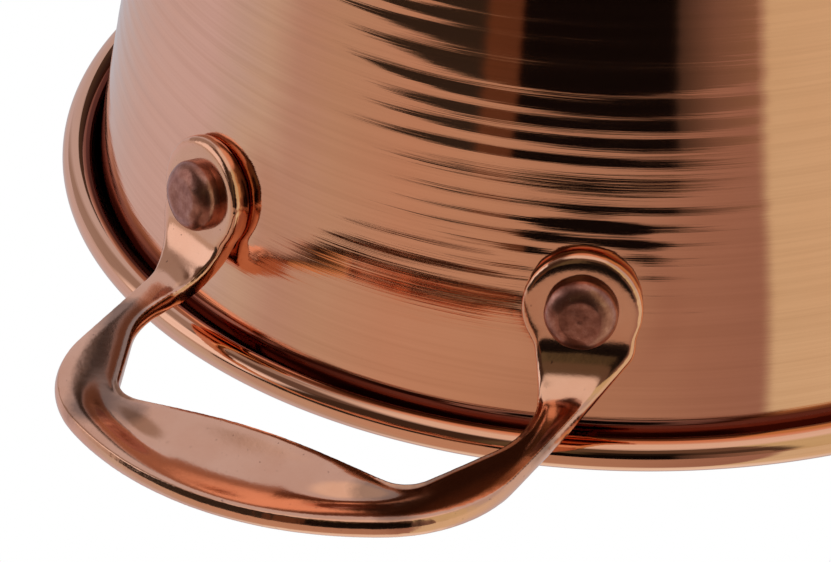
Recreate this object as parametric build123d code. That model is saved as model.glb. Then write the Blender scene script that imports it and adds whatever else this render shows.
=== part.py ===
"""Copper jam pan: a spun sheet bowl with a rim rolled over a wire, and two cast loop
handles, each held by two solid copper rivets. Millimetres, pan upright, +Z up, the
origin at the middle of the flat base. The handles lie on +X and -X.
"""

from build123d import *
from math import asin, cos, degrees, pi, radians, sin, sqrt, tan
import os

# Pan body, spun from one sheet
rim_diameter = 280.0
pan_height = 125.0
sheet = 1.5
wall_tilt = 9.75
wall_setback = 8.6
base_corner_radius = 20.0

# Rolled rim
bead_diameter = 7.7
wire_clearance = 0.2
curl_end_angle = 195.0

# Handle casting
rivet_inset = 8.5
rivet_drop = 33.3
seat_gap = 0.2
lug_thickness = 4.55
lug_diameter = 27.6
lug_edge_round = 2.0
lug_edge_fade = 3.0
neck_foot_width = 24.8
neck_width = 17.4
neck_rise = 19.0
bend_radius = 13.0
bend_start = 6.3
bar_thickness = 5.2
handle_width = 114.0
handle_corner_radius = 34.0
front_arc_radius = 79.5
waist_width = 7.3
waist_reach = 9.0
waist_blend = 22.0
shoulder_blend = 27.0
dressing_reach = 8.0
dressing_lean = 33.0
dressing_turn = 4.4

# Grip, a lens with a dished face along its outer edge
finger_gap = 35.8
grip_width = 27.2
lens_bulge = 1.7
lens_end_inset = 19.5
lens_corner_radius = 8.0
dish_end_inset = 15.0
dish_depth = 1.7
valley_share = 0.65
lip_drop = 2.2
back_follow_share = 0.6
dish_stations = 12
under_edge_round = 0.6
upper_edge_round = 1.2
window_edge_round = 0.8
window_edge_break = 0.5

# Rivets
rivet_head_diameter = 16.9
rivet_top_diameter = 10.4
rivet_head_height = 6.5
rivet_top_round = 1.2
shank_diameter = 8.0
shank_clearance = 0.1
inner_head_diameter = 15.0
inner_top_diameter = 12.0
inner_head_height = 2.2
inner_head_round = 1.0
inner_head_gap = 0.1
spot_face_margin = 0.4

# Overrun of every cutting tool past the face that it cuts, and of the dished band into the window
overrun = 4.0
band_overrun = 16.0

# Names: each handle by its turn about the pan's axis, each rivet by the side of its handle
handle_names = {"right": 0, "left": 180}
rivet_names = {"front": -1, "back": 1}
handle_turns = tuple(handle_names.values())
lug_sides = tuple(rivet_names.values())

# Places that follow from the sizes above
rim_radius = rim_diameter / 2
bead_radius = bead_diameter / 2
bead_centre_radius = rim_radius - bead_radius
bead_height = pan_height - bead_radius
tilt_cos = cos(radians(wall_tilt))
tilt_sin = sin(radians(wall_tilt))
wall_normal = Vector(tilt_cos, 0, -tilt_sin)
wall_rise = Vector(tilt_sin, 0, tilt_cos)


def wall_radius(height):
    """Radius of the wall's outer face at a height."""
    return rim_radius - wall_setback + (height - bead_height) * tan(radians(wall_tilt))


rivet_height = bead_height - rivet_drop
rivet_pitch = handle_width - 2 * rivet_inset
rivet_seat = Vector(wall_radius(rivet_height), 0, rivet_height)
lug_angle = degrees(asin(rivet_pitch / 2 / rivet_seat.X))
lug_front = seat_gap + lug_thickness
bend_centre = rivet_seat + wall_normal * (lug_front + bend_radius) + wall_rise * bend_start
arm_under = bend_centre.Z + bend_radius
arm_top = arm_under + bar_thickness
lens_inner = rim_radius + finger_gap
grip_front = lens_inner + grip_width
handle_half = handle_width / 2
lens_length = handle_width - 2 * lens_end_inset
dish_length = handle_width - 2 * dish_end_inset
front_centre = grip_front - front_arc_radius
arm_root = front_centre - bar_thickness - overrun


def on_circle(centre, radius, angle):
    """Point of the section plane at an angle, in degrees, on a circle."""
    return centre + Vector(radius * cos(radians(angle)), 0, radius * sin(radians(angle)))


def pan_shell():
    """The bowl: flat base, leaning wall, and the rim curled out and under."""
    bead = Vector(bead_centre_radius, 0, bead_height)
    setback = bead_centre_radius - wall_radius(bead_height)
    neck_radius = (setback * tilt_cos - bead_radius * tilt_sin + sheet) / (1 - tilt_sin)
    neck = Vector(bead_centre_radius, 0, pan_height - neck_radius)
    corner_height = base_corner_radius * (1 - tilt_sin)
    corner = Vector(wall_radius(corner_height) - base_corner_radius * tilt_cos, 0, base_corner_radius)
    corner_mid = (wall_tilt - 90) / 2 - wall_tilt
    neck_mid = (90 + 180 - wall_tilt) / 2
    curl_mid = (90 + curl_end_angle - 360) / 2

    def surface(inset):
        """One face of the sheet, from the axis to the end of the curl."""
        corner_inset = base_corner_radius - inset
        neck_inset = neck_radius - sheet + inset
        curl_inset = bead_radius - sheet + inset
        foot = Vector(corner.X, 0, inset)
        wall_foot = on_circle(corner, corner_inset, -wall_tilt)
        wall_top = on_circle(neck, neck_inset, 180 - wall_tilt)
        crown = on_circle(neck, neck_inset, 90)
        curl_end = on_circle(bead, curl_inset, curl_end_angle)
        return [
            Line(Vector(0, 0, inset), foot),
            ThreePointArc(foot, on_circle(corner, corner_inset, corner_mid), wall_foot),
            Line(wall_foot, wall_top),
            ThreePointArc(wall_top, on_circle(neck, neck_inset, neck_mid), crown),
            ThreePointArc(crown, on_circle(bead, curl_inset, curl_mid), curl_end),
        ]

    outside = surface(0)
    inside = surface(sheet)
    ends = [Line(outside[0] @ 0, inside[0] @ 0), Line(outside[-1] @ 1, inside[-1] @ 1)]
    section = make_face(outside + inside + ends)
    bowl = revolve(section, Axis.Z)
    for handle_turn in handle_turns:
        for side in lug_sides:
            bowl -= Rot(0, 0, handle_turn + side * lug_angle) * rivet_bore()
    return bowl


def rim_wire():
    """The wire that the rim is rolled over."""
    wire_radius = bead_radius - sheet - wire_clearance
    section = Plane.XZ * Pos(bead_centre_radius, bead_height) * Circle(wire_radius)
    return revolve(section, Axis.Z)


def rivet_bore():
    """Hole for one rivet's shank, square to the wall, at azimuth zero."""
    radius = shank_diameter / 2 + shank_clearance
    depth = lug_front + sheet + 2 * overrun
    start = rivet_seat - wall_normal * (sheet + overrun)
    return extrude(Plane(start, z_dir=wall_normal) * Circle(radius), depth)


def within_wall(offset):
    """Everything inside a cone parallel to the wall's outer face, at an offset from it."""
    reach = wall_rise * (lug_diameter + overrun)
    low = rivet_seat - reach + wall_normal * offset
    high = rivet_seat + reach + wall_normal * offset
    section = make_face(Polyline(
        Vector(0, 0, low.Z), low, high, Vector(0, 0, high.Z), close=True))
    return revolve(section, Axis.Z)


def bent_strip():
    """Side profile of lug, bend and arm, extruded across the lug at azimuth zero."""
    back_radius = bend_radius + bar_thickness
    lug_low = wall_rise * (lug_diameter / 2 + overrun)
    front_start = rivet_seat + wall_normal * lug_front - lug_low
    front_bend = bend_centre - wall_normal * bend_radius
    back_bend = bend_centre - wall_normal * back_radius
    back_start = rivet_seat + wall_normal * (lug_front - bar_thickness) - lug_low
    bend_mid = (180 - wall_tilt + 90) / 2
    stub = Vector(overrun, 0, 0)
    front_end = on_circle(bend_centre, bend_radius, 90)
    back_end = on_circle(bend_centre, back_radius, 90)
    section = make_face([
        Line(front_start, front_bend),
        ThreePointArc(front_bend, on_circle(bend_centre, bend_radius, bend_mid), front_end),
        Line(front_end, front_end + stub),
        Line(front_end + stub, back_end + stub),
        Line(back_end + stub, back_end),
        ThreePointArc(back_end, on_circle(bend_centre, back_radius, bend_mid), back_bend),
        Line(back_bend, back_start),
        Line(back_start, front_start),
    ])
    return extrude(section, lug_diameter, both=True)


def lug_front_tool():
    """Round lug and neck, seen square to the wall, as one long prism. The neck tapers inside."""
    neck_top = bend_radius + bar_thickness + bend_start + overrun
    foot = neck_foot_width / 2
    neck = Polyline(
        (-foot, 0), (foot, 0), (foot, neck_top), (-neck_width / 2, neck_top),
        (-neck_width / 2, neck_rise), close=True)
    outline = Circle(lug_diameter / 2) + make_face(neck)
    start = rivet_seat - wall_normal * bar_thickness
    plane = Plane(start, x_dir=(0, 1, 0), z_dir=wall_normal)
    reach = bend_radius + 2 * bar_thickness + lug_front + 2 * overrun
    return extrude(plane * outline, reach)


def lug_point(radius, across):
    """Point in plan, given along and across the radius through the +Y lug."""
    turn = radians(lug_angle)
    return (radius * cos(turn) - across * sin(turn), radius * sin(turn) + across * cos(turn))


def plan_outline():
    """Grip and arms seen from above, with the finger window open towards the pan."""
    reach = grip_front - arm_root
    strip = Pos(arm_root, 0) * Rectangle(reach, handle_width, align=(Align.MIN, Align.CENTER))
    square_reach = front_centre - arm_root
    square = Pos(arm_root, 0) * Rectangle(square_reach, handle_width, align=(Align.MIN, Align.CENTER))
    outer = strip & (Pos(front_centre, 0) * Circle(front_arc_radius) + square)
    corners = outer.vertices().filter_by_position(Axis.X, front_centre + overrun, grip_front)
    outer = fillet(corners, handle_corner_radius)
    neck_edge = Vector(*lug_point(bend_centre.X, -neck_width / 2))
    waist = Vector(rim_radius + waist_reach, handle_half - waist_width)
    corner = Vector(lens_inner + lens_bulge, lens_length / 2)
    root = Vector(arm_root - overrun, neck_edge.Y)
    side = [root, neck_edge, waist, corner]
    other_side = [Vector(point.X, -point.Y) for point in side]
    edges = [Line(a, b) for a, b in zip(side, side[1:])]
    edges += [Line(a, b) for a, b in zip(other_side, other_side[1:])]
    edges += [ThreePointArc(corner, Vector(lens_inner, 0), other_side[-1]), Line(root, other_side[0])]
    window = make_face(edges)
    waists = window.vertices().filter_by_position(Axis.X, waist.X - overrun, waist.X + overrun)
    window = fillet(waists, waist_blend)
    corners = window.vertices().filter_by_position(Axis.X, corner.X - overrun, corner.X + overrun)
    window = fillet(corners, lens_corner_radius)
    return outer - window


def grip_section(across):
    """Section of the grip across its length: dished below, and gently crowned above."""
    swell = cos(pi * across / dish_length) ** 2
    lens_radius = (lens_length ** 2 / 4 + lens_bulge ** 2) / 2 / lens_bulge
    inner = lens_inner + lens_radius - sqrt(lens_radius ** 2 - across ** 2)
    outer = front_centre + sqrt(front_arc_radius ** 2 - across ** 2)

    def face_curve(height, share):
        """Curve of one face, run past the grip's inner and outer edges."""
        lip = Vector(inner, across, height - lip_drop * swell * share)
        valley_at = inner + (outer - inner) * valley_share
        valley = Vector(valley_at, across, height + dish_depth * swell * share)
        ridge = Vector(outer, across, height)
        before = lip + (lip - valley).normalized() * band_overrun
        after = ridge + (ridge - valley).normalized() * overrun
        return Spline(before, lip, valley, ridge, after)

    below = face_curve(arm_under, 1)
    above = face_curve(arm_top, back_follow_share)
    sides = [Line(below @ 0, above @ 0), Line(below @ 1, above @ 1)]
    return make_face([below, above] + sides)


def grip_and_arms():
    """The flat loop: plan outline cut from a bar whose middle is dished."""
    stations = [dish_length * (i / dish_stations - 1 / 2) for i in range(dish_stations + 1)]
    band = loft([grip_section(across) for across in stations])
    reach = grip_front + overrun - arm_root
    width = handle_half + overrun - dish_length / 2
    bar = Box(reach, width, bar_thickness, align=(Align.MIN, Align.MIN, Align.MIN))
    thickness = band
    for side in (0, 1):
        placed = Pos(arm_root, dish_length / 2, arm_under) * bar
        thickness += mirror(placed, Plane.XZ) if side else placed
    prism = extrude(plan_outline(), bar_thickness + 2 * overrun)
    loop = thickness & Pos(0, 0, arm_under - overrun) * prism
    lip_edge = loop.edges().sort_by_distance(Vector(lens_inner, 0, arm_under - lip_drop))[0]
    return chamfer(lip_edge, window_edge_break)


def lug_plate():
    """One lug with its bend, at azimuth zero, seated on the wall's curve."""
    plate = (bent_strip() & lug_front_tool()) - within_wall(seat_gap)
    return plate - lug_edge_cutter()


def lug_edge_cutter():
    """Rounds the front edge of the lug's free end, fading out towards the neck."""
    radius = lug_diameter / 2 + lug_edge_fade
    edge = lug_front - lug_edge_round
    centre = Plane(rivet_seat + wall_rise * lug_edge_fade, x_dir=(0, 1, 0), z_dir=wall_normal)
    arc_mid = 1 / sqrt(2)
    start = (radius - lug_edge_round, lug_front)
    middle = (radius - lug_edge_round * (1 - arc_mid), edge + lug_edge_round * arc_mid)
    end = (radius, edge)
    ring = make_face(
        ThreePointArc(start, middle, end).edges()
        + Polyline(end, (radius + overrun, edge), (radius + overrun, lug_front + overrun),
                   (radius - lug_edge_round, lug_front + overrun), start).edges())
    half = revolve(Plane.XZ * ring, Axis.Z, -180)
    return centre * half


def spot_face():
    """Flat seat round the outer rivet head, at azimuth zero."""
    start = Plane(rivet_seat + wall_normal * lug_front, z_dir=wall_normal)
    return extrude(start * Circle(rivet_head_diameter / 2 + spot_face_margin), rivet_head_height)


def shoulder_cutter():
    """Trims the +Y bend to the arm's outer side, with a hollow blend to the lug."""
    start = lug_point(bend_centre.X, 0)[0]
    hollow = Pos(start, handle_half + shoulder_blend) * Circle(shoulder_blend)
    beyond = Pos(start, handle_half) * Rectangle(
        handle_width, shoulder_blend, align=(Align.MIN, Align.MIN))
    return extrude(hollow + beyond, pan_height)


def shoulder_dressing():
    """Slanting cut over the back of the +Y shoulder, which fades out along the arm."""
    outward = Vector(0, 1, 0).rotate(Axis.X, dressing_lean).rotate(Axis.Z, dressing_turn)
    start = Vector(rim_radius + dressing_reach, handle_half, arm_top)
    beyond = Box(
        handle_width, handle_width, handle_width, align=(Align.CENTER, Align.CENTER, Align.MIN))
    return Plane(start, z_dir=outward) * beyond


def handle():
    """One cast handle on the +X side, from lug to lug in one piece."""
    behind = Box(
        bend_centre.X - arm_root, handle_width, pan_height,
        align=(Align.MAX, Align.CENTER, Align.MIN))
    behind = Rot(0, 0, lug_angle) * (Pos(bend_centre.X, 0, 0) * behind)
    lug = Rot(0, 0, lug_angle) * lug_plate() - shoulder_cutter()
    dressing = shoulder_dressing()
    body = grip_and_arms() - [behind, mirror(behind, Plane.XZ)]
    body += [lug, mirror(lug, Plane.XZ)]
    for side in lug_sides:
        body -= Rot(0, 0, side * lug_angle) * (rivet_bore() + spot_face())
    edge_rounds = [
        (Vector(grip_front, 0, arm_under), under_edge_round),
        (Vector(grip_front, 0, arm_top), upper_edge_round),
        (Vector(lens_inner, 0, arm_top - lip_drop * back_follow_share), window_edge_round),
    ]
    for place, radius in edge_rounds:
        body = fillet(body.edges().sort_by_distance(place)[0], radius)
    return body - [dressing, mirror(dressing, Plane.XZ)]


def rivet_head(base_radius, top_radius, height, top_round):
    """A head standing on the XY plane: sloping side, flat top, rounded shoulder."""
    cone = Cone(base_radius, top_radius, height, align=(Align.CENTER, Align.CENTER, Align.MIN))
    top_edge = cone.edges().sort_by(Axis.Z)[-1]
    return fillet(top_edge, top_round)


def rivet():
    """One rivet at azimuth zero: shank, tall outer head, and inner head seated on the wall's curve."""
    upright = (Align.CENTER, Align.CENTER, Align.MIN)
    seat = Plane(rivet_seat, z_dir=wall_normal)
    head = rivet_head(
        rivet_head_diameter / 2, rivet_top_diameter / 2, rivet_head_height, rivet_top_round)
    inner_head = mirror(rivet_head(
        inner_head_diameter / 2, inner_top_diameter / 2, inner_head_height, inner_head_round), Plane.XY)
    inner_seat = -sheet - inner_head_gap
    root = Cylinder(inner_head_diameter / 2, sheet, align=upright)
    inner = (seat * Pos(0, 0, inner_seat) * (inner_head + root)) & within_wall(inner_seat)
    shank_foot = inner_seat - inner_head_height / 2
    shank = Cylinder(shank_diameter / 2, lug_front - shank_foot, align=upright)
    return inner + seat * (Pos(0, 0, lug_front) * head + Pos(0, 0, shank_foot) * shank)


def build():
    """Every piece of the pan by the name of its node."""
    pieces = {"pan_shell": pan_shell(), "rim_wire": rim_wire()}
    casting = handle()
    fastener = rivet()
    for hand, turn in handle_names.items():
        pieces[f"{hand}_handle"] = Rot(0, 0, turn) * casting
        for place, side in rivet_names.items():
            lug_side = -side if turn else side
            placed = Rot(0, 0, turn + lug_side * lug_angle) * fastener
            pieces[f"{hand}_handle_{place}_rivet"] = placed
    return pieces


if __name__ == "__main__":
    os.makedirs("parts", exist_ok=True)
    for name, piece in build().items():
        piece.label = name
        export_step(piece, f"parts/{name}.step")
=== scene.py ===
"""Looks of the copper jam pan: finishes, studio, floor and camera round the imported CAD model.

Metres, pan upright on the floor, +Z up. The photograph shows the pan turned over, rim
down, so its camera stands below the floor and looks up at the outside of the wall.
"""

import math

import bmesh
import bpy
from mathutils import Matrix, Vector, noise
from mathutils.bvhtree import BVHTree


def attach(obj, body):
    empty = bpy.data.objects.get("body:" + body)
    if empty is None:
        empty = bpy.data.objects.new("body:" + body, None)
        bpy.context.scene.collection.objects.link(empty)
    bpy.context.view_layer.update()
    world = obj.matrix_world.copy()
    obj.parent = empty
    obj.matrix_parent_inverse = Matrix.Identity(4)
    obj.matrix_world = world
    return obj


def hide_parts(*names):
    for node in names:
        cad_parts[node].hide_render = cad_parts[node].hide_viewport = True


# Pan body in metres, as in the CAD model
RIM_RADIUS = 0.14
PAN_HEIGHT = 0.125
SHEET = 0.0015
WALL_TILT = math.radians(9.75)
WALL_SETBACK = 0.0086
BASE_CORNER_RADIUS = 0.02
BEAD_RADIUS = 0.00385
CURL_END = math.radians(-165)

# Mesh of the spun shell
SHELL_SEGMENTS = 448
GROOVE_ROW = 0.0005
PLAIN_ROW = 0.0025
ARC_STEP = math.radians(4)

# Spinning grooves on the outside of the wall
GROOVE_DEPTH = 0.000034
GROOVE_PITCH = 0.0049
GROOVE_LENGTH = 0.11
GROOVE_FULL_HEIGHT = 0.07
GROOVE_FADED_HEIGHT = 0.108
GROOVE_FADED_SHARE = 0.35
GROOVE_START_HEIGHT = 0.012
GROOVE_DRIFT_SHARE = 0.25
SWELL_MEAN = 0.75
SWELL_SHARE = 0.5
SWELL_START = 90
WANDER_AROUND = 2
WANDER_UP = 1.9
WANDER_START = 40
WANDER_SHARE = 0.9

# Slight bulge of the wall round each lug
BULGE_DEPTH = 0.00018
BULGE_START = 0.014
BULGE_FOOT = 0.024
BULGE_END = 0.05

# Painted shade in the recess between wall and bead: heights and radius where it starts and ends
RECESS_START = 0.1152
RECESS_END = 0.1356
RECESS_EDGE = 0.0010

# Painted shade on the seat of each lug, by distance out from the wall
SEAT_START = 0.0008
SEAT_END = 0.0026

# Handle castings, remade as fine even meshes
CASTING_VOXEL = 0.0004
CASTING_SPIN = math.radians(45)
CASTING_TILT = math.radians(30)
MERGE_SHARE = 0.01
CASTING_SMOOTHING = 80
CROWN_SMOOTHING = 14

# How far the castings' faces fall away: at edges, across the arms, in the grip's two corners
EDGE_WIDTH = 0.004
EDGE_DROP = 0.0004
CROWN_WIDTH = 0.0165
CROWN_DROP = 0.0010
ARM_START = 0.018
ARM_FULL = 0.040
VALLEY_START = 0.012
VALLEY_FULL = 0.028
VALLEY_FADE = 0.034
VALLEY_END = 0.049
VALLEY_BACK = 0.166
VALLEY_FRONT = 0.188
VALLEY_NEAR = 0.0012
VALLEY_FAR = 0.019
VALLEY_DEPTH = 0.0015
ROUND_WIDTH = 0.0026
ROUND_DROP = 0.0009

# Where the castings' flat bar lies, and how its faces are told apart by their slope
WINDOW_CENTRE = Vector((0.155, 0))
BAR_LOW = 0.100
BAR_HIGH = 0.112
SIDE_STEEPNESS = 0.25
FACE_STEEPNESS = 0.8
FLAT_STEEPNESS = 0.95

# Painted dark reflections on the arms' lower face: start and end in
# plan, the distances at which each is full and gone, and its strength
ARM_DARK_REFLECTIONS = [
    ((0.148, 0.0530, 0), (0.1860, 0.0392, 0), 0.0030, 0.0068, 0.85),
    ((0.180, 0.0375, 0), (0.1822, 0.0305, 0), 0.0016, 0.0050, 0.7),
]
DARK_REFLECTION_WANDER = 0.0026
DARK_REFLECTION_TOP = 0.1068
DARK_REFLECTION_EDGE = 0.0012

# Rivets, as in the CAD model, but with lower and rounder outer heads
RIVET_DROP = 0.0333
RIVET_HEIGHT = PAN_HEIGHT - BEAD_RADIUS - RIVET_DROP
RIVET_PITCH = 0.097
LUG_FRONT = 0.00475
HEAD_RADIUS = 0.00835
HEAD_TOP_RADIUS = 0.0046
HEAD_HEIGHT = 0.0051
HEAD_SIDE = 0.0015
DOME_END = math.radians(68)
DOME_STEPS = 24
SHANK_RADIUS = 0.004
INNER_RADIUS = 0.0075
INNER_TOP_RADIUS = 0.006
INNER_HEIGHT = 0.0022
INNER_GAP = 0.0001
RIVET_SEGMENTS = 96
RIVET_ROW = 0.0006
SHARP_ANGLE = math.radians(40)
HAMMER_PITCH = 260
HAMMER_SPREAD = 96
HAMMER_SHARE = 0.012
HAMMER_DEPTH = 0.00012

# Each handle by its turn about the pan's axis, each rivet by the side of its handle
HANDLE_TURNS = {"right_handle": 0, "left_handle": math.pi}
RIVET_SIDES = {"front": -1, "back": 1}

# Camera of the photograph, about the middle of the rim's bead
CAMERA_DISTANCE = 1.274368
CAMERA_ELEVATION = math.radians(31.209393)
CAMERA_YAW = math.radians(-2.741855)
CAMERA_PITCH = math.radians(-32.799675)
CAMERA_ROLL = math.radians(0.296080)
HANDLE_AZIMUTH = math.radians(-26.505962)
LENS = 221.389212
SENSOR_WIDTH = 36
CLIP_RATIO = 20

# The photograph's directions in the pan's frame
PHOTO_RIGHT = Vector((math.sin(HANDLE_AZIMUTH), -math.cos(HANDLE_AZIMUTH), 0))
TOWARD_CAMERA = Vector((math.cos(HANDLE_AZIMUTH), math.sin(HANDLE_AZIMUTH), 0))
PHOTO_UP = Vector((0, 0, -1))

# Floor and lamp
FLOOR_RADIUS = 1.2
FLOOR_SEGMENTS = 96
FLOOR_FADE = (0.35, 1.1)
LAMP_SIZE = 1.6
LAMP_POWER = 16
LAMP_PLACE = (-0.4, -0.5, 1.7)
PLAIN_LIGHT = 0.6

# Noises of the metals: scale per metre, detail and roughness
SPUN_CLOUDS = (14, 4, 0.6)
CAST_CLOUDS = (45, 5, 0.6)
CAST_SPECKS = (900, 3, 0.6)
CAST_WAVES = (130, 3, 0.5)
CAST_SCRATCHES = (1100, 3, 0.6)
DARK_REFLECTION_RAGS = (420, 4, 0.7)
RIVET_BLOTCHES = (420, 5, 0.65)
WIRE_CLOUDS = (300, 3, 0.6)

# Noises that run round the pan: scale per metre level and upright, then detail and roughness
RING_SCALES = (12, 1400)
RING_NOISE = (1, 3, 0.6)
BAND_SCALES = (5, 620)
BAND_NOISE = (1, 4, 0.7)

# Ranges of noise over which one colour gives way to the next
SPUN_CLOUD_RANGE = (0.35, 0.75)
BAND_RANGE = (0.42, 0.72)
BAND_STRENGTH = 0.55
CAST_CLOUD_RANGE = (0.4, 0.75)
SPECK_RANGE = (0.68, 0.76)
BLOTCH_RANGE = (0.3, 0.7)

# Bumps of the metals, and their roughness: growth with the clouds and least value for the
# spun and cast copper, ends of the range for the rivets
SPUN_BUMP = {"Strength": 0.5, "Distance": 0.00004}
CAST_BUMP = {"Strength": 0.25, "Distance": 0.0002}
RIVET_BUMP = {"Strength": 0.35, "Distance": 0.0002}
WIRE_BUMP = {"Strength": 0.2, "Distance": 0.0001}
SCRATCH_SHARE = 0.22
SPUN_ROUGHNESS = (0.04, 0.04)
CAST_ROUGHNESS = (0.08, 0.09)
RIVET_ROUGHNESS = (0.38, 0.26)
WIRE_ROUGHNESS = 0.35
SPUN_STRETCH = 0.5
STRETCH_TURN = 0.25

# Colours, linear
COPPER = (0.92, 0.48, 0.30, 1)
SPUN_TARNISH = (0.87, 0.42, 0.245, 1)
SPUN_BAND = (0.74, 0.36, 0.21, 1)
CAST_TARNISH = (0.85, 0.40, 0.235, 1)
SPECK = (0.30, 0.14, 0.09, 1)
# painted shade in the recess between wall and bead
RECESS_SHADE = (0.36, 0.15, 0.105, 1)
# painted shade on each lug's seat next to the wall
SEAT_SHADE = (0.42, 0.12, 0.055, 1)
# painted dark reflection on the arms' lower face
ARM_DARK_REFLECTION = (0.26, 0.145, 0.10, 1)
PALE_FLOOR = (0.86, 0.86, 0.85, 1)
WHITE = (1, 1, 1, 1)
RIVET_COLOURS = [
    (0.3, (0.29, 0.105, 0.070)), (0.5, (0.42, 0.165, 0.112)), (0.7, (0.54, 0.245, 0.175))]
WIRE_COLOURS = [(0.3, (0.32, 0.31, 0.30)), (0.7, (0.50, 0.49, 0.47))]


def add(tree, kind, inputs=None, **settings):
    """A new node: settings are its properties, inputs its sockets' values or links."""
    made = tree.nodes.new(kind)
    for key, value in settings.items():
        setattr(made, key, value)
    for key, value in (inputs or {}).items():
        socket = made.inputs[key]
        if isinstance(value, bpy.types.NodeSocket):
            tree.links.new(value, socket)
        else:
            socket.default_value = value
    return made


def math_node(tree, operation, *values):
    """Result of a Math node."""
    return add(tree, "ShaderNodeMath", dict(enumerate(values)), operation=operation).outputs[0]


def dot(tree, vector, axis):
    """Dot product of a vector socket and a fixed axis."""
    made = add(tree, "ShaderNodeVectorMath", {0: vector, 1: axis}, operation="DOT_PRODUCT")
    return made.outputs["Value"]


def ramp(tree, factor, stops):
    """Colour ramp over rows of place and colour."""
    made = add(tree, "ShaderNodeValToRGB", {"Fac": factor})
    elements = made.color_ramp.elements
    while len(elements) < len(stops):
        elements.new(1)
    for element, (place, colour) in zip(elements, stops):
        element.position = place
        element.color = (*colour, 1)
    return made.outputs["Color"]


def mix(tree, factor, first, second):
    """Mix of two colours."""
    made = add(tree, "ShaderNodeMix", {0: factor, 6: first, 7: second}, data_type="RGBA")
    return made.outputs[2]


def remap(tree, value, low, high, to_low=0.0, to_high=1.0):
    """Value mapped from one range to another, clamped."""
    inputs = {1: low, 2: high, 3: to_low, 4: to_high, "Value": value}
    return add(tree, "ShaderNodeMapRange", inputs).outputs[0]


def noise_at(tree, vector, scale, detail, roughness):
    """Noise value at a vector."""
    inputs = {"Vector": vector, "Scale": scale, "Detail": detail, "Roughness": roughness}
    return add(tree, "ShaderNodeTexNoise", inputs).outputs["Fac"]


def object_place(tree):
    """Place of a surface point in the pan's frame."""
    return add(tree, "ShaderNodeTexCoord").outputs["Object"]


def parts_of(tree, vector):
    """The three parts of a vector."""
    return add(tree, "ShaderNodeSeparateXYZ", {0: vector}).outputs


def from_axis(tree, apart):
    """Distance of a surface point from the pan's axis."""
    squares = [math_node(tree, "POWER", apart[i], 2) for i in (0, 1)]
    return math_node(tree, "SQRT", math_node(tree, "ADD", *squares))


def from_wall(tree, apart, radius):
    """Level distance of a surface point out from the wall's outer face."""
    wall = math_node(tree, "MULTIPLY_ADD", apart[2], math.tan(WALL_TILT), wall_radius(0))
    return math_node(tree, "SUBTRACT", radius, wall)


def round_pan(tree, apart, height, level_scale, upright_scale):
    """Place with one scale for both level directions, and a height at a scale of its own."""
    scaled = ((apart[0], level_scale), (apart[1], level_scale), (height, upright_scale))
    parts = {i: math_node(tree, "MULTIPLY", *pair) for i, pair in enumerate(scaled)}
    return add(tree, "ShaderNodeCombineXYZ", parts).outputs[0]


def metal(tree, output, colour, rough, bump, height, more=None):
    """Metal shader with a bump, joined to the material's output."""
    normal = add(tree, "ShaderNodeBump", {"Height": height, **bump}).outputs[0]
    shader = add(tree, "ShaderNodeBsdfPrincipled", {
        "Base Color": colour, "Metallic": 1, "Roughness": rough, "Normal": normal, **(more or {})})
    tree.links.new(shader.outputs[0], output.inputs["Surface"])


def distance_to_line(tree, vector, start, end):
    """Distance of a point from the line between two fixed points."""
    along = Vector(end) - Vector(start)
    from_start = add(tree, "ShaderNodeVectorMath", {0: vector, 1: start}, operation="SUBTRACT")
    share = math_node(tree, "DIVIDE", dot(tree, from_start.outputs[0], along), along.length_squared)
    share = remap(tree, share, 0, 1)
    step = add(tree, "ShaderNodeVectorMath", {0: along, "Scale": share}, operation="SCALE")
    gap = {0: from_start.outputs[0], 1: step.outputs[0]}
    return add(tree, "ShaderNodeVectorMath", gap, operation="DISTANCE").outputs["Value"]


def new_material(name):
    """An empty node material, its tree and its output."""
    material = bpy.data.materials.new(name)
    material.use_nodes = True
    tree = material.node_tree
    tree.nodes.clear()
    return material, tree, add(tree, "ShaderNodeOutputMaterial")


def photo_axes(tree, vector):
    """Azimuth of a direction in turns, one half towards the camera and more to the right of it,
    and its height in the photograph.
    """
    right = dot(tree, vector, PHOTO_RIGHT)
    toward = dot(tree, vector, TOWARD_CAMERA)
    turn = math_node(tree, "ARCTAN2", right, toward)
    share = math_node(tree, "MULTIPLY_ADD", turn, 1 / math.tau, 1 / 2)
    return share, dot(tree, vector, PHOTO_UP)


def by_azimuth(tree, share, rows):
    """Colour ramp over rows of azimuth in degrees and colour."""
    stops = [(azimuth / 360 + 1 / 2, colour) for azimuth, colour in rows]
    return ramp(tree, share, stops)


# What the metal mirrors, by azimuth in degrees, 0 towards the camera and positive to the
# right: the room's upper part, its top, its lower part, and the table
ROOM_HIGH = [
    (-180, (0.07, 0.052, 0.042)),
    (-177, (0.07, 0.052, 0.042)),
    (-175.4, (0.56, 0.606, 0.728)),
    (-152, (0.56, 0.606, 0.728)),
    (-142, (0.34, 0.32, 0.33)),
    (-114, (0.34, 0.32, 0.33)),
    (-106, (0.93, 1, 1.14)),
    (-74, (0.93, 1, 1.14)),
    (-66, (0.05, 0.035, 0.027)),
    (-30, (0.05, 0.035, 0.027)),
    (-25, (0.1, 0.092, 0.058)),
    (-9, (0.1, 0.092, 0.058)),
    (-4, (0.014, 0.011, 0.009)),
    (12, (0.014, 0.011, 0.009)),
    (16, (0.065, 0.047, 0.036)),
    (32, (0.085, 0.064, 0.052)),
    (35, (0.58, 0.61, 0.42)),
    (62, (0.6, 0.63, 0.47)),
    (80, (0.5, 0.524, 0.589)),
    (108, (0.5, 0.537, 0.616)),
    (116, (0.1, 0.077, 0.066)),
    (180, (0.07, 0.052, 0.042)),
]

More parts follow.
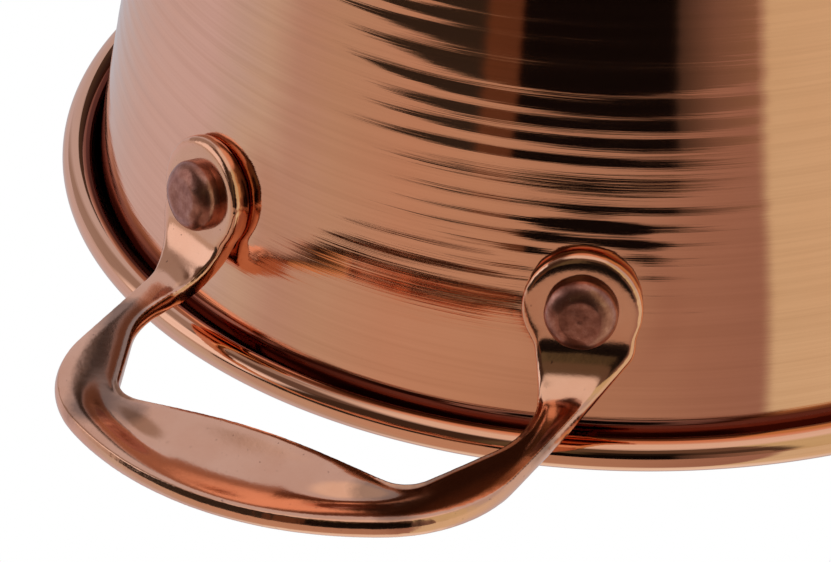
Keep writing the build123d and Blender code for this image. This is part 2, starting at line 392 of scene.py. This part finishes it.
ROOM_TOP = [
    (-180, (0.56, 0.606, 0.728)),
    (-152, (0.56, 0.606, 0.728)),
    (-142, (0.34, 0.32, 0.33)),
    (-114, (0.34, 0.32, 0.33)),
    (-106, (0.13, 0.1, 0.09)),
    (-74, (0.13, 0.1, 0.09)),
    (-66, (0.05, 0.035, 0.027)),
    (-30, (0.05, 0.035, 0.027)),
    (-25, (0.12, 0.1, 0.07)),
    (12, (0.12, 0.09, 0.07)),
    (32, (0.15, 0.11, 0.09)),
    (35, (0.58, 0.61, 0.42)),
    (62, (0.6, 0.63, 0.47)),
    (90, (0.5, 0.524, 0.589)),
    (120, (0.56, 0.606, 0.728)),
    (180, (0.56, 0.606, 0.728)),
]

ROOM_LOW = [
    (-180, (0.58, 0.606, 0.728)),
    (-130, (0.56, 0.583, 0.7)),
    (-111, (0.549, 0.548, 0.602)),
    (-95, (0.5, 0.49, 0.491)),
    (-69, (0.4, 0.315, 0.281)),
    (-51, (0.37, 0.292, 0.252)),
    (-47.5, (0.04, 0.035, 0.028)),
    (-36, (0.04, 0.035, 0.028)),
    (-35, (0.28, 0.221, 0.196)),
    (-26, (0.26, 0.198, 0.168)),
    (-25, (0.004, 0.003, 0.003)),
    (12, (0.004, 0.003, 0.003)),
    (13, (0.101, 0.071, 0.063)),
    (30, (0.24, 0.163, 0.14)),
    (32, (0.26, 0.187, 0.154)),
    (33, (0.566, 0.581, 0.396)),
    (60, (0.626, 0.653, 0.506)),
    (100, (0.6, 0.642, 0.7)),
    (180, (0.58, 0.606, 0.728)),
]

TABLE = [
    (-180, (0.5, 0.5, 0.54)),
    (-143, (0.56, 0.57, 0.63)),
    (-125, (0.59, 0.6, 0.7)),
    (-105, (0.6, 0.63, 0.78)),
    (-95, (0.555, 0.61, 0.71)),
    (-86, (0.56, 0.6, 0.62)),
    (-77, (0.5, 0.46, 0.48)),
    (-66, (0.514, 0.471, 0.432)),
    (-47, (0.529, 0.415, 0.356)),
    (-30, (0.515, 0.408, 0.341)),
    (0, (0.424, 0.332, 0.286)),
    (15, (0.36, 0.26, 0.23)),
    (29, (0.33, 0.235, 0.215)),
    (30.4, (0.65, 0.7, 0.57)),
    (60, (0.7, 0.73, 0.6)),
    (110, (0.6, 0.65, 0.72)),
    (180, (0.5, 0.5, 0.54)),
]

# The dark room beyond the table's far edge: colours by metres to the photograph's right,
# and its plan in metres to the right and towards the camera
SCREEN = [
    (-1.6, (0.035, 0.031, 0.025)),
    (-0.194, (0.03, 0.026, 0.022)),
    (-0.19, (0.11, 0.053, 0.031)),
    (-0.148, (0.105, 0.05, 0.03)),
    (-0.144, (0.004, 0.003, 0.003)),
    (0.062, (0.004, 0.003, 0.003)),
    (0.066, (0.055, 0.042, 0.037)),
    (0.13, (0.19, 0.136, 0.118)),
    (0.219, (0.27, 0.2, 0.155)),
]
SCREEN_PLAN = [(-1.6, 0.34), (-0.21, 0.365), (-0.14, 0.40), (0.062, 0.40), (0.219, 0.465)]

# What the metal mirrors straight up and straight down in the photograph
SKY = (0.76, 0.77, 0.80, 1)
OVERHEAD = (0.84, 0.96, 1.0, 1)

# Heights of a direction, 1 straight up in the photograph, at which each field starts and fills
LOW_RISE = (-0.02, 0.02)
HIGH_RISE = (0.12, 0.16)
TOP_RISE = (0.58, 0.66)
SKY_RISE = (0.86, 0.93)
OVERHEAD_RISE = (-0.90, -0.97)


def studio_world():
    """White to the camera, even grey for diffuse light, and a room for the metal to mirror."""
    world = bpy.data.worlds.new("studio")
    bpy.context.scene.world = world
    world.use_nodes = True
    tree = world.node_tree
    tree.nodes.clear()
    direction = add(tree, "ShaderNodeTexCoord").outputs["Generated"]
    share, up = photo_axes(tree, direction)
    colour = by_azimuth(tree, share, TABLE)
    for rows, rise in ((ROOM_LOW, LOW_RISE), (ROOM_HIGH, HIGH_RISE), (ROOM_TOP, TOP_RISE)):
        colour = mix(tree, remap(tree, up, *rise), colour, by_azimuth(tree, share, rows))
    colour = mix(tree, remap(tree, up, *SKY_RISE), colour, SKY)
    colour = mix(tree, remap(tree, up, *OVERHEAD_RISE), colour, OVERHEAD)
    path = add(tree, "ShaderNodeLightPath")
    room_light = add(tree, "ShaderNodeBackground", {"Color": colour, "Strength": 1})
    plain_light = add(tree, "ShaderNodeBackground", {"Color": WHITE, "Strength": PLAIN_LIGHT})
    white = add(tree, "ShaderNodeBackground", {"Color": WHITE, "Strength": 1})
    glossy = add(tree, "ShaderNodeMixShader", {
        0: path.outputs["Is Glossy Ray"], 1: plain_light.outputs[0], 2: room_light.outputs[0]})
    shown = add(tree, "ShaderNodeMixShader", {
        0: path.outputs["Is Camera Ray"], 1: glossy.outputs[0], 2: white.outputs[0]})
    add(tree, "ShaderNodeOutputWorld", {"Surface": shown.outputs[0]})


def mesh_object(name, vertices, faces, smooth=True):
    """A new mesh object in the scene."""
    mesh = bpy.data.meshes.new(name)
    mesh.from_pydata(vertices, [], faces)
    mesh.update()
    if smooth:
        mesh.shade_smooth()
    made = bpy.data.objects.new(name, mesh)
    bpy.context.scene.collection.objects.link(made)
    return made


def on_circle(centre, radius, angle):
    """Point of the section plane at an angle on a circle."""
    return (centre[0] + radius * math.cos(angle), centre[1] + radius * math.sin(angle))


def arc(centre, radius, start, end):
    """Points along an arc of the section plane, its start left out."""
    count = max(2, math.ceil(abs(end - start) / ARC_STEP))
    return [on_circle(centre, radius, start + (end - start) * i / count)
            for i in range(1, count + 1)]


def line(start, end, step):
    """Points along a line of the section plane, its start left out."""
    length = math.dist(start, end)
    count = max(1, math.ceil(length / step))
    return [tuple(a + (b - a) * i / count for a, b in zip(start, end))
            for i in range(1, count + 1)]


def wall_radius(height):
    """Radius of the wall's outer face at a height."""
    above_bead = height - (PAN_HEIGHT - BEAD_RADIUS)
    return RIM_RADIUS - WALL_SETBACK + above_bead * math.tan(WALL_TILT)


def lug_turn():
    """Turn about the pan's axis from the middle of a handle to each of its lugs."""
    return math.asin(RIVET_PITCH / 2 / wall_radius(RIVET_HEIGHT))


def shell_profile(inset, wall_step):
    """One face of the sheet in section, from the axis to the end of the curl."""
    tilt_sin, tilt_cos = math.sin(WALL_TILT), math.cos(WALL_TILT)
    bead = (RIM_RADIUS - BEAD_RADIUS, PAN_HEIGHT - BEAD_RADIUS)
    setback = bead[0] - wall_radius(bead[1])
    neck_radius = (setback * tilt_cos - BEAD_RADIUS * tilt_sin + SHEET) / (1 - tilt_sin)
    neck = (bead[0], PAN_HEIGHT - neck_radius)
    corner_reach = wall_radius(BASE_CORNER_RADIUS * (1 - tilt_sin)) - BASE_CORNER_RADIUS * tilt_cos
    corner = (corner_reach, BASE_CORNER_RADIUS)
    corner_inset = BASE_CORNER_RADIUS - inset
    neck_inset = neck_radius - SHEET + inset
    wall_foot = on_circle(corner, corner_inset, -WALL_TILT)
    wall_top = on_circle(neck, neck_inset, math.pi - WALL_TILT)
    points = [(0, inset)]
    points += line(points[-1], (corner[0], inset), PLAIN_ROW * 2)
    points += arc(corner, corner_inset, -math.pi / 2, -WALL_TILT)
    points += line(wall_foot, wall_top, wall_step)
    points += arc(neck, neck_inset, math.pi - WALL_TILT, math.pi / 2)
    points += arc(bead, BEAD_RADIUS - SHEET + inset, math.pi / 2, CURL_END)
    return points


def bulge(turn, height):
    """How far the wall stands out round the lugs, where the riveting has pressed it."""
    around = wall_radius(RIVET_HEIGHT)
    across = min(
        abs(math.remainder(turn - handle_turn - side * lug_turn(), math.tau)) * around
        for handle_turn in HANDLE_TURNS.values() for side in RIVET_SIDES.values())
    distance = math.hypot(across, height - RIVET_HEIGHT)
    fall = min(1, max(0, (distance - BULGE_START) / (BULGE_FOOT - BULGE_START)))
    rise = min(1, max(0, (distance - BULGE_FOOT) / (BULGE_END - BULGE_FOOT)))
    return BULGE_DEPTH * (math.cos(math.pi * fall) + (1 - math.cos(math.pi * rise)) / 2)


def groove_height(turn, height):
    """How far a spinning groove stands out of the plain wall, at a turn and a height."""
    strength = min(1, max(0, (height - GROOVE_START_HEIGHT) / GROOVE_START_HEIGHT))
    fade = (height - GROOVE_FULL_HEIGHT) / (GROOVE_FADED_HEIGHT - GROOVE_FULL_HEIGHT)
    strength *= 1 - (1 - GROOVE_FADED_SHARE) * min(1, max(0, fade))
    around = RIM_RADIUS / GROOVE_LENGTH
    place = Vector((math.cos(turn) * around, math.sin(turn) * around, height / GROOVE_PITCH))
    drift = Vector((place.x, place.y, place.z * GROOVE_DRIFT_SHARE))
    wander = Vector((
        place.x * WANDER_AROUND, place.y * WANDER_AROUND, place.z * WANDER_UP + WANDER_START))
    wave = math.sin(math.tau * (place.z + noise.noise(drift)))
    swell_place = Vector((drift.x, drift.y, place.z * SWELL_SHARE + SWELL_START))
    swell = SWELL_MEAN + noise.noise(swell_place)
    return GROOVE_DEPTH * strength * (wave * swell + noise.noise(wander) * WANDER_SHARE)


def spun_shell():
    """The bowl as a finely turned mesh, with its spinning grooves."""
    outside = shell_profile(0, GROOVE_ROW)
    inside = shell_profile(SHEET, PLAIN_ROW)
    ring = outside[1:] + inside[:0:-1]
    grooved_to = PAN_HEIGHT - WALL_SETBACK
    vertices = []
    for i in range(SHELL_SEGMENTS):
        turn = math.tau * i / SHELL_SEGMENTS
        for k, (radius, height) in enumerate(ring):
            is_outer_wall = k < len(outside) - 1 and GROOVE_START_HEIGHT < height < grooved_to
            if is_outer_wall and radius < RIM_RADIUS - WALL_SETBACK:
                radius += groove_height(turn, height) + bulge(turn, height)
            vertices.append((radius * math.cos(turn), radius * math.sin(turn), height))
    rows = len(ring)
    faces = []
    for i in range(SHELL_SEGMENTS):
        here, there = i * rows, (i + 1) % SHELL_SEGMENTS * rows
        faces += [(here + k, there + k, there + k + 1, here + k + 1) for k in range(rows - 1)]
    middle_out, middle_in = len(vertices), len(vertices) + 1
    vertices += [(0, 0, 0), (0, 0, SHEET)]
    for i in range(SHELL_SEGMENTS):
        here, there = i * rows, (i + 1) % SHELL_SEGMENTS * rows
        faces.append((middle_out, there, here))
        faces.append((middle_in, here + rows - 1, there + rows - 1))
    return mesh_object("pan_shell_spun", vertices, faces)


def evened(mesh, iterations, voxel=0):
    """A copy of a mesh with its surface smoothed, first remade in even faces if a size is given."""
    rough = bpy.data.objects.new("rough", mesh)
    bpy.context.scene.collection.objects.link(rough)
    if voxel:
        remesh = rough.modifiers.new("remesh", "REMESH")
        remesh.mode = "VOXEL"
        remesh.voxel_size = voxel
    smooth = rough.modifiers.new("smooth", "SMOOTH")
    smooth.iterations = iterations
    bpy.context.view_layer.update()
    evaluated = rough.evaluated_get(bpy.context.evaluated_depsgraph_get())
    fine = bpy.data.meshes.new_from_object(evaluated)
    bpy.data.objects.remove(rough)
    return fine


def soft_casting(source, name):
    """A handle remade as a fine mesh, with its edges softened and its arms crowned.

    It is remade while turned aside, because edges along the voxels' rows come out stepped.
    """
    merged = bmesh.new()
    merged.from_mesh(source.data)
    bmesh.ops.remove_doubles(merged, verts=merged.verts, dist=CASTING_VOXEL * MERGE_SHARE)
    mesh = bpy.data.meshes.new(name)
    merged.to_mesh(mesh)
    merged.free()
    aside = Matrix.Rotation(CASTING_TILT, 4, "X") @ Matrix.Rotation(CASTING_SPIN, 4, "Z")
    mesh.transform(aside)
    fine = evened(mesh, CASTING_SMOOTHING, CASTING_VOXEL)
    fine.transform(aside.inverted())
    fine.update()
    crown_arms(fine)
    fine = evened(fine, CROWN_SMOOTHING)
    fine.name = name
    fine.shade_smooth()
    made = bpy.data.objects.new(name, fine)
    bpy.context.scene.collection.objects.link(made)
    return made


def share_between(value, low, high):
    """Smooth share from 0 to 1 of the way from one value to another."""
    share = min(1, max(0, (value - low) / (high - low)))
    return share * share * (3 - 2 * share)


def crown_arms(mesh):
    """Lets the flat faces fall towards their edges, most at the inside of the arms' lower face."""
    places = [vertex.co.copy() for vertex in mesh.vertices]
    normals = [vertex.normal.copy() for vertex in mesh.vertices]
    inner, outer, flats = [], [], []
    for face in mesh.polygons:
        if abs(face.normal.z) < SIDE_STEEPNESS and BAR_LOW < face.center.z < BAR_HIGH:
            to_window = WINDOW_CENTRE - face.center.to_2d()
            side = inner if face.normal.to_2d().dot(to_window) > 0 else outer
            side.append(tuple(face.vertices))
        elif abs(face.normal.z) > FLAT_STEEPNESS:
            flats.append(tuple(face.vertices))
    inner_tree = BVHTree.FromPolygons(places, inner)
    outer_tree = BVHTree.FromPolygons(places, outer)
    flat_tree = BVHTree.FromPolygons(places, flats)
    for vertex, place, normal in zip(mesh.vertices, places, normals):
        slope = normal.z
        if not BAR_LOW < place.z < BAR_HIGH:
            continue
        from_window = inner_tree.find_nearest(place)[3]
        from_outside = outer_tree.find_nearest(place)[3]
        edge = max(0, 1 - min(from_window, from_outside) / EDGE_WIDTH)
        fall = EDGE_DROP * edge ** 2
        if slope < 0:
            on_arm = share_between(abs(place.y), ARM_START, ARM_FULL)
            fall += CROWN_DROP * on_arm * max(0, 1 - from_window / CROWN_WIDTH) ** 2
            in_corner = share_between(abs(place.y), VALLEY_START, VALLEY_FULL)
            in_corner *= share_between(abs(place.y), VALLEY_END, VALLEY_FADE)
            in_corner *= share_between(place.x, VALLEY_BACK, VALLEY_FRONT)
            across = share_between(from_outside, VALLEY_NEAR, VALLEY_FAR)
            fall += VALLEY_DEPTH * in_corner * math.sin(math.pi * across) ** 2
        strength = share_between(abs(slope), FACE_STEEPNESS, 1)
        vertex.co.z -= math.copysign(fall * strength, slope)
        if from_outside < from_window:
            from_flat = flat_tree.find_nearest(place)[3]
            inset = ROUND_DROP * max(0, 1 - from_flat / ROUND_WIDTH) ** 2
            inset *= 1 - share_between(abs(slope), FACE_STEEPNESS / 2, FLAT_STEEPNESS)
            inset *= share_between(place.z, BAR_LOW, BAR_LOW + ROUND_WIDTH)
            vertex.co -= Vector((normal.x, normal.y, 0)).normalized() * inset
    mesh.update()


def dome(radius, top_radius, foot, height, up):
    """Points up the rounded side of a rivet head, from its foot to the rim of its flat top."""
    points = []
    for i in range(DOME_STEPS + 1):
        turn = DOME_END * i / DOME_STEPS
        reach = (math.cos(turn) - math.cos(DOME_END)) / (1 - math.cos(DOME_END))
        rise = math.sin(turn) / math.sin(DOME_END)
        points.append((top_radius + (radius - top_radius) * reach, foot + up * height * rise))
    return points


def rivet_outline():
    """Half section of a rivet as radius and place out from the wall's outer face."""
    seat = -SHEET - INNER_GAP
    inner = dome(INNER_RADIUS, INNER_TOP_RADIUS, seat, INNER_HEIGHT, -1)
    inner.reverse()
    points = [(0, seat - INNER_HEIGHT)]
    points += line(points[-1], inner[0], RIVET_ROW)
    points += inner[1:]
    points += line(points[-1], (SHANK_RADIUS, seat), RIVET_ROW)
    points += line(points[-1], (SHANK_RADIUS, LUG_FRONT), RIVET_ROW)
    points += line(points[-1], (HEAD_RADIUS, LUG_FRONT), RIVET_ROW)
    points += line(points[-1], (HEAD_RADIUS, LUG_FRONT + HEAD_SIDE), RIVET_ROW)
    points += dome(
        HEAD_RADIUS, HEAD_TOP_RADIUS, LUG_FRONT + HEAD_SIDE, HEAD_HEIGHT - HEAD_SIDE, 1)[1:]
    points += line(points[-1], (0, LUG_FRONT + HEAD_HEIGHT), RIVET_ROW)
    return points


def rivet(name, turn):
    """One rivet at a turn about the pan's axis, its heads a little uneven from the hammer."""
    seat_radius = wall_radius(RIVET_HEIGHT)
    seat = Vector((seat_radius, 0, RIVET_HEIGHT))
    outline = rivet_outline()
    outward = Vector((math.cos(WALL_TILT), 0, -math.sin(WALL_TILT)))
    rise = Vector((math.sin(WALL_TILT), 0, math.cos(WALL_TILT)))
    spin = Matrix.Rotation(turn, 3, "Z")
    vertices = []
    for end in (outline[0], outline[-1]):
        vertices.append(spin @ (seat + outward * end[1]))
    for i in range(RIVET_SEGMENTS):
        angle = math.tau * i / RIVET_SEGMENTS
        for radius, out in outline[1:-1]:
            across, along = radius * math.cos(angle), radius * math.sin(angle)
            if out < 0:
                out -= across * across / (2 * seat_radius)
            place = Vector((seat_radius, across, RIVET_HEIGHT)) + outward * out + rise * along
            beat = noise.noise(place * HAMMER_PITCH + Vector((turn * HAMMER_SPREAD, 0, 0)))
            if out > LUG_FRONT:
                place += outward * HAMMER_DEPTH * beat
                place += (Vector((0, across, 0)) + rise * along) * HAMMER_SHARE * beat
            vertices.append(spin @ place)
    rows = len(outline) - 2
    faces = []
    for i in range(RIVET_SEGMENTS):
        here, there = 2 + i * rows, 2 + (i + 1) % RIVET_SEGMENTS * rows
        faces += [(here + k, here + k + 1, there + k + 1, there + k) for k in range(rows - 1)]
        faces.append((0, here, there))
        faces.append((1, there + rows - 1, here + rows - 1))
    made = mesh_object(name + "_forged", vertices, faces)
    made.data.set_sharp_from_angle(angle=SHARP_ANGLE)
    return made


def spun_copper():
    """Turned and polished copper: fine rings, long bands, a little tarnish and painted shade in the
    recess under the bead.
    """
    material, tree, output = new_material("spun_copper")
    place = object_place(tree)
    apart = parts_of(tree, place)
    radius = from_axis(tree, apart)
    up_and_out = math_node(tree, "ADD", apart[2], radius)
    rings = noise_at(tree, round_pan(tree, apart, up_and_out, *RING_SCALES), *RING_NOISE)
    bands = noise_at(tree, round_pan(tree, apart, apart[2], *BAND_SCALES), *BAND_NOISE)
    clouds = noise_at(tree, place, *SPUN_CLOUDS)
    colour = mix(tree, remap(tree, clouds, *SPUN_CLOUD_RANGE), COPPER, SPUN_TARNISH)
    colour = mix(tree, remap(tree, bands, *BAND_RANGE, 0, BAND_STRENGTH), colour, SPUN_BAND)
    # Painted shade in the recess between wall and bead
    recess = remap(tree, apart[2], RECESS_START, RECESS_START + RECESS_EDGE)
    for limit in (
        remap(tree, from_wall(tree, apart, radius), -SHEET, -SHEET / 2),
        remap(tree, radius, RECESS_END, RECESS_END - RECESS_EDGE),
        remap(tree, apart[2], PAN_HEIGHT - SHEET / 2, PAN_HEIGHT - SHEET),
    ):
        recess = math_node(tree, "MULTIPLY", recess, limit)
    colour = mix(tree, recess, colour, RECESS_SHADE)
    rough = math_node(tree, "MULTIPLY_ADD", clouds, *SPUN_ROUGHNESS)
    tangent = add(tree, "ShaderNodeTangent", direction_type="RADIAL", axis="Z").outputs[0]
    metal(tree, output, colour, rough, SPUN_BUMP, rings, {
        "Anisotropic": SPUN_STRETCH, "Anisotropic Rotation": STRETCH_TURN, "Tangent": tangent})
    return material


def cast_copper():
    """Cast and polished handle: satin, softly worn, with scratches, small dark pits, painted shade
    at the lug seats and painted dark reflections on the arms.
    """
    material, tree, output = new_material("cast_copper")
    place = object_place(tree)
    apart = parts_of(tree, place)
    clouds = noise_at(tree, place, *CAST_CLOUDS)
    specks = remap(tree, noise_at(tree, place, *CAST_SPECKS), *SPECK_RANGE)
    colour = mix(tree, remap(tree, clouds, *CAST_CLOUD_RANGE), COPPER, CAST_TARNISH)
    colour = mix(tree, specks, colour, SPECK)
    # Painted shade on each lug's seat, darker towards the wall
    off_wall = from_wall(tree, apart, from_axis(tree, apart))
    colour = mix(tree, remap(tree, off_wall, SEAT_END, SEAT_START), colour, SEAT_SHADE)
    # Painted dark reflections on the arms' lower face, with ragged edges
    plan = add(tree, "ShaderNodeVectorMath", {0: place}, operation="ABSOLUTE").outputs[0]
    level = {0: plan, 1: (1, 1, 0)}
    plan = add(tree, "ShaderNodeVectorMath", level, operation="MULTIPLY").outputs[0]
    rags = noise_at(tree, place, *DARK_REFLECTION_RAGS)
    wander = math_node(tree, "MULTIPLY_ADD", rags, DARK_REFLECTION_WANDER, -DARK_REFLECTION_WANDER / 2)
    below = remap(tree, apart[2], DARK_REFLECTION_TOP, DARK_REFLECTION_TOP - DARK_REFLECTION_EDGE)
    for start, end, full, gone, strength in ARM_DARK_REFLECTIONS:
        reach = math_node(tree, "ADD", distance_to_line(tree, plan, start, end), wander)
        inside = remap(tree, reach, gone, full, 0, strength)
        colour = mix(tree, math_node(tree, "MULTIPLY", inside, below), colour, ARM_DARK_REFLECTION)
    scratches = noise_at(tree, place, *CAST_SCRATCHES)
    waves = noise_at(tree, place, *CAST_WAVES)
    waves = math_node(tree, "MULTIPLY_ADD", scratches, SCRATCH_SHARE, waves)
    rough = math_node(tree, "MULTIPLY_ADD", clouds, *CAST_ROUGHNESS)
    metal(tree, output, colour, rough, CAST_BUMP, waves)
    return material


def rivet_copper():
    """Forged rivet: dull mauve-brown oxide over copper, mottled."""
    material, tree, output = new_material("rivet_copper")
    blotches = noise_at(tree, object_place(tree), *RIVET_BLOTCHES)
    colour = ramp(tree, blotches, RIVET_COLOURS)
    rough = remap(tree, blotches, *BLOTCH_RANGE, *RIVET_ROUGHNESS)
    metal(tree, output, colour, rough, RIVET_BUMP, blotches)
    return material


def wire_steel():
    """Drawn steel wire inside the rolled rim."""
    material, tree, output = new_material("wire_steel")
    clouds = noise_at(tree, object_place(tree), *WIRE_CLOUDS)
    metal(tree, output, ramp(tree, clouds, WIRE_COLOURS), WIRE_ROUGHNESS, WIRE_BUMP, clouds)
    return material


def dress(piece, material):
    """Puts one material on a piece."""
    piece.data.materials.clear()
    piece.data.materials.append(material)


def camera():
    """The photograph's camera, worked out in the photograph's frame and turned into the pan's."""
    rim = Vector((0, 0, PAN_HEIGHT - BEAD_RADIUS))

    def to_pan(right, away, up):
        return PHOTO_RIGHT * right - TOWARD_CAMERA * away + PHOTO_UP * up

    sin_yaw, cos_yaw = math.sin(CAMERA_YAW), math.cos(CAMERA_YAW)
    sin_pitch, cos_pitch = math.sin(CAMERA_PITCH), math.cos(CAMERA_PITCH)
    forward = to_pan(sin_yaw * cos_pitch, cos_yaw * cos_pitch, sin_pitch)
    level = to_pan(cos_yaw, -sin_yaw, 0)
    upright = level.cross(forward)
    side = math.cos(CAMERA_ROLL) * level + math.sin(CAMERA_ROLL) * upright
    top = math.cos(CAMERA_ROLL) * upright - math.sin(CAMERA_ROLL) * level
    place = rim + CAMERA_DISTANCE * to_pan(
        0, -math.cos(CAMERA_ELEVATION), math.sin(CAMERA_ELEVATION))
    data = bpy.data.cameras.new("photo_camera")
    data.lens = LENS
    data.sensor_width = SENSOR_WIDTH
    data.clip_start = CAMERA_DISTANCE / CLIP_RATIO
    data.clip_end = CAMERA_DISTANCE * CLIP_RATIO
    made = bpy.data.objects.new("photo_camera", data)
    turned = Matrix((side, top, -forward)).transposed().to_4x4()
    made.matrix_world = Matrix.Translation(place) @ turned
    bpy.context.scene.collection.objects.link(made)
    bpy.context.scene.camera = made


def floor():
    """Pale floor under the upright pan, clear from below and fading out at its edge."""
    turns = [math.tau * i / FLOOR_SEGMENTS for i in range(FLOOR_SEGMENTS)]
    rim = [(*on_circle((0, 0), FLOOR_RADIUS, turn), 0) for turn in turns]
    made = mesh_object("floor", rim, [tuple(range(FLOOR_SEGMENTS))])
    material, tree, output = new_material("pale_floor")
    from_middle = {0: object_place(tree)}
    reach = add(tree, "ShaderNodeVectorMath", from_middle, operation="LENGTH").outputs["Value"]
    edge = remap(tree, reach, *FLOOR_FADE)
    behind = add(tree, "ShaderNodeNewGeometry").outputs["Backfacing"]
    gone = math_node(tree, "MAXIMUM", edge, behind)
    matte = add(tree, "ShaderNodeBsdfDiffuse", {"Color": PALE_FLOOR})
    clear = add(tree, "ShaderNodeBsdfTransparent")
    blend = add(tree, "ShaderNodeMixShader", {0: gone, 1: matte.outputs[0], 2: clear.outputs[0]})
    tree.links.new(blend.outputs[0], output.inputs["Surface"])
    dress(made, material)
    made.visible_glossy = False


def room_screen():
    """The dark room beyond the table's edge, which only the metal's reflections see."""
    left, right = SCREEN[0][0], SCREEN[-1][0]
    vertices = []
    for across, away in SCREEN_PLAN:
        foot = TOWARD_CAMERA * away + PHOTO_RIGHT * across
        vertices += [foot, foot + Vector((0, 0, PAN_HEIGHT))]
    faces = [(k, k + 1, k + 3, k + 2) for k in range(0, len(vertices) - 2, 2)]
    made = mesh_object("room_screen", vertices, faces, smooth=False)
    material, tree, output = new_material("dark_room")
    across = remap(tree, dot(tree, object_place(tree), PHOTO_RIGHT), left, right)
    stops = [((reach - left) / (right - left), colour) for reach, colour in SCREEN]
    light = add(tree, "ShaderNodeEmission", {"Color": ramp(tree, across, stops), "Strength": 1})
    tree.links.new(light.outputs[0], output.inputs["Surface"])
    dress(made, material)
    made.visible_camera = False
    made.visible_diffuse = False
    made.visible_shadow = False
    made.visible_transmission = False


def lamp():
    """Broad soft lamp above the pan, for the shadow on the floor."""
    data = bpy.data.lights.new("soft_lamp", "AREA")
    data.shape = "DISK"
    data.size = LAMP_SIZE
    data.energy = LAMP_POWER
    made = bpy.data.objects.new("soft_lamp", data)
    made.location = LAMP_PLACE
    made.rotation_euler = (-made.location).to_track_quat("-Z", "Y").to_euler()
    made.visible_glossy = False
    bpy.context.scene.collection.objects.link(made)


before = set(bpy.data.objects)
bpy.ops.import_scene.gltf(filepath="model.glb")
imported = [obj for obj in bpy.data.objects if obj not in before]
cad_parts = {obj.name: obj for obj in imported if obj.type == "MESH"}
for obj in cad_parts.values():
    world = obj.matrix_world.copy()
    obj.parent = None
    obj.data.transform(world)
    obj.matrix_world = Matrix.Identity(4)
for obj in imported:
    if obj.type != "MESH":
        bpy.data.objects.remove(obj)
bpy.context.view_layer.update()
bpy.context.scene.view_settings.view_transform = "Standard"

shell = spun_shell()
dress(shell, spun_copper())
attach(shell, "root")
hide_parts("pan_shell")

handle_finish = cast_copper()
rivet_finish = rivet_copper()
casting = soft_casting(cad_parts["right_handle"], "right_handle_cast")
for node, turn in HANDLE_TURNS.items():
    if turn:
        casting = bpy.data.objects.new(node + "_cast", casting.data.copy())
        casting.data.transform(Matrix.Rotation(turn, 4, "Z"))
        bpy.context.scene.collection.objects.link(casting)
    dress(casting, handle_finish)
    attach(casting, "root")
    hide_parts(node)
    for place, side in RIVET_SIDES.items():
        replaced = f"{node}_{place}_rivet"
        piece = rivet(replaced, turn + (-side if turn else side) * lug_turn())
        dress(piece, rivet_finish)
        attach(piece, "root")
        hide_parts(replaced)
dress(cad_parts["rim_wire"], wire_steel())

studio_world()
floor()
room_screen()
lamp()
camera()
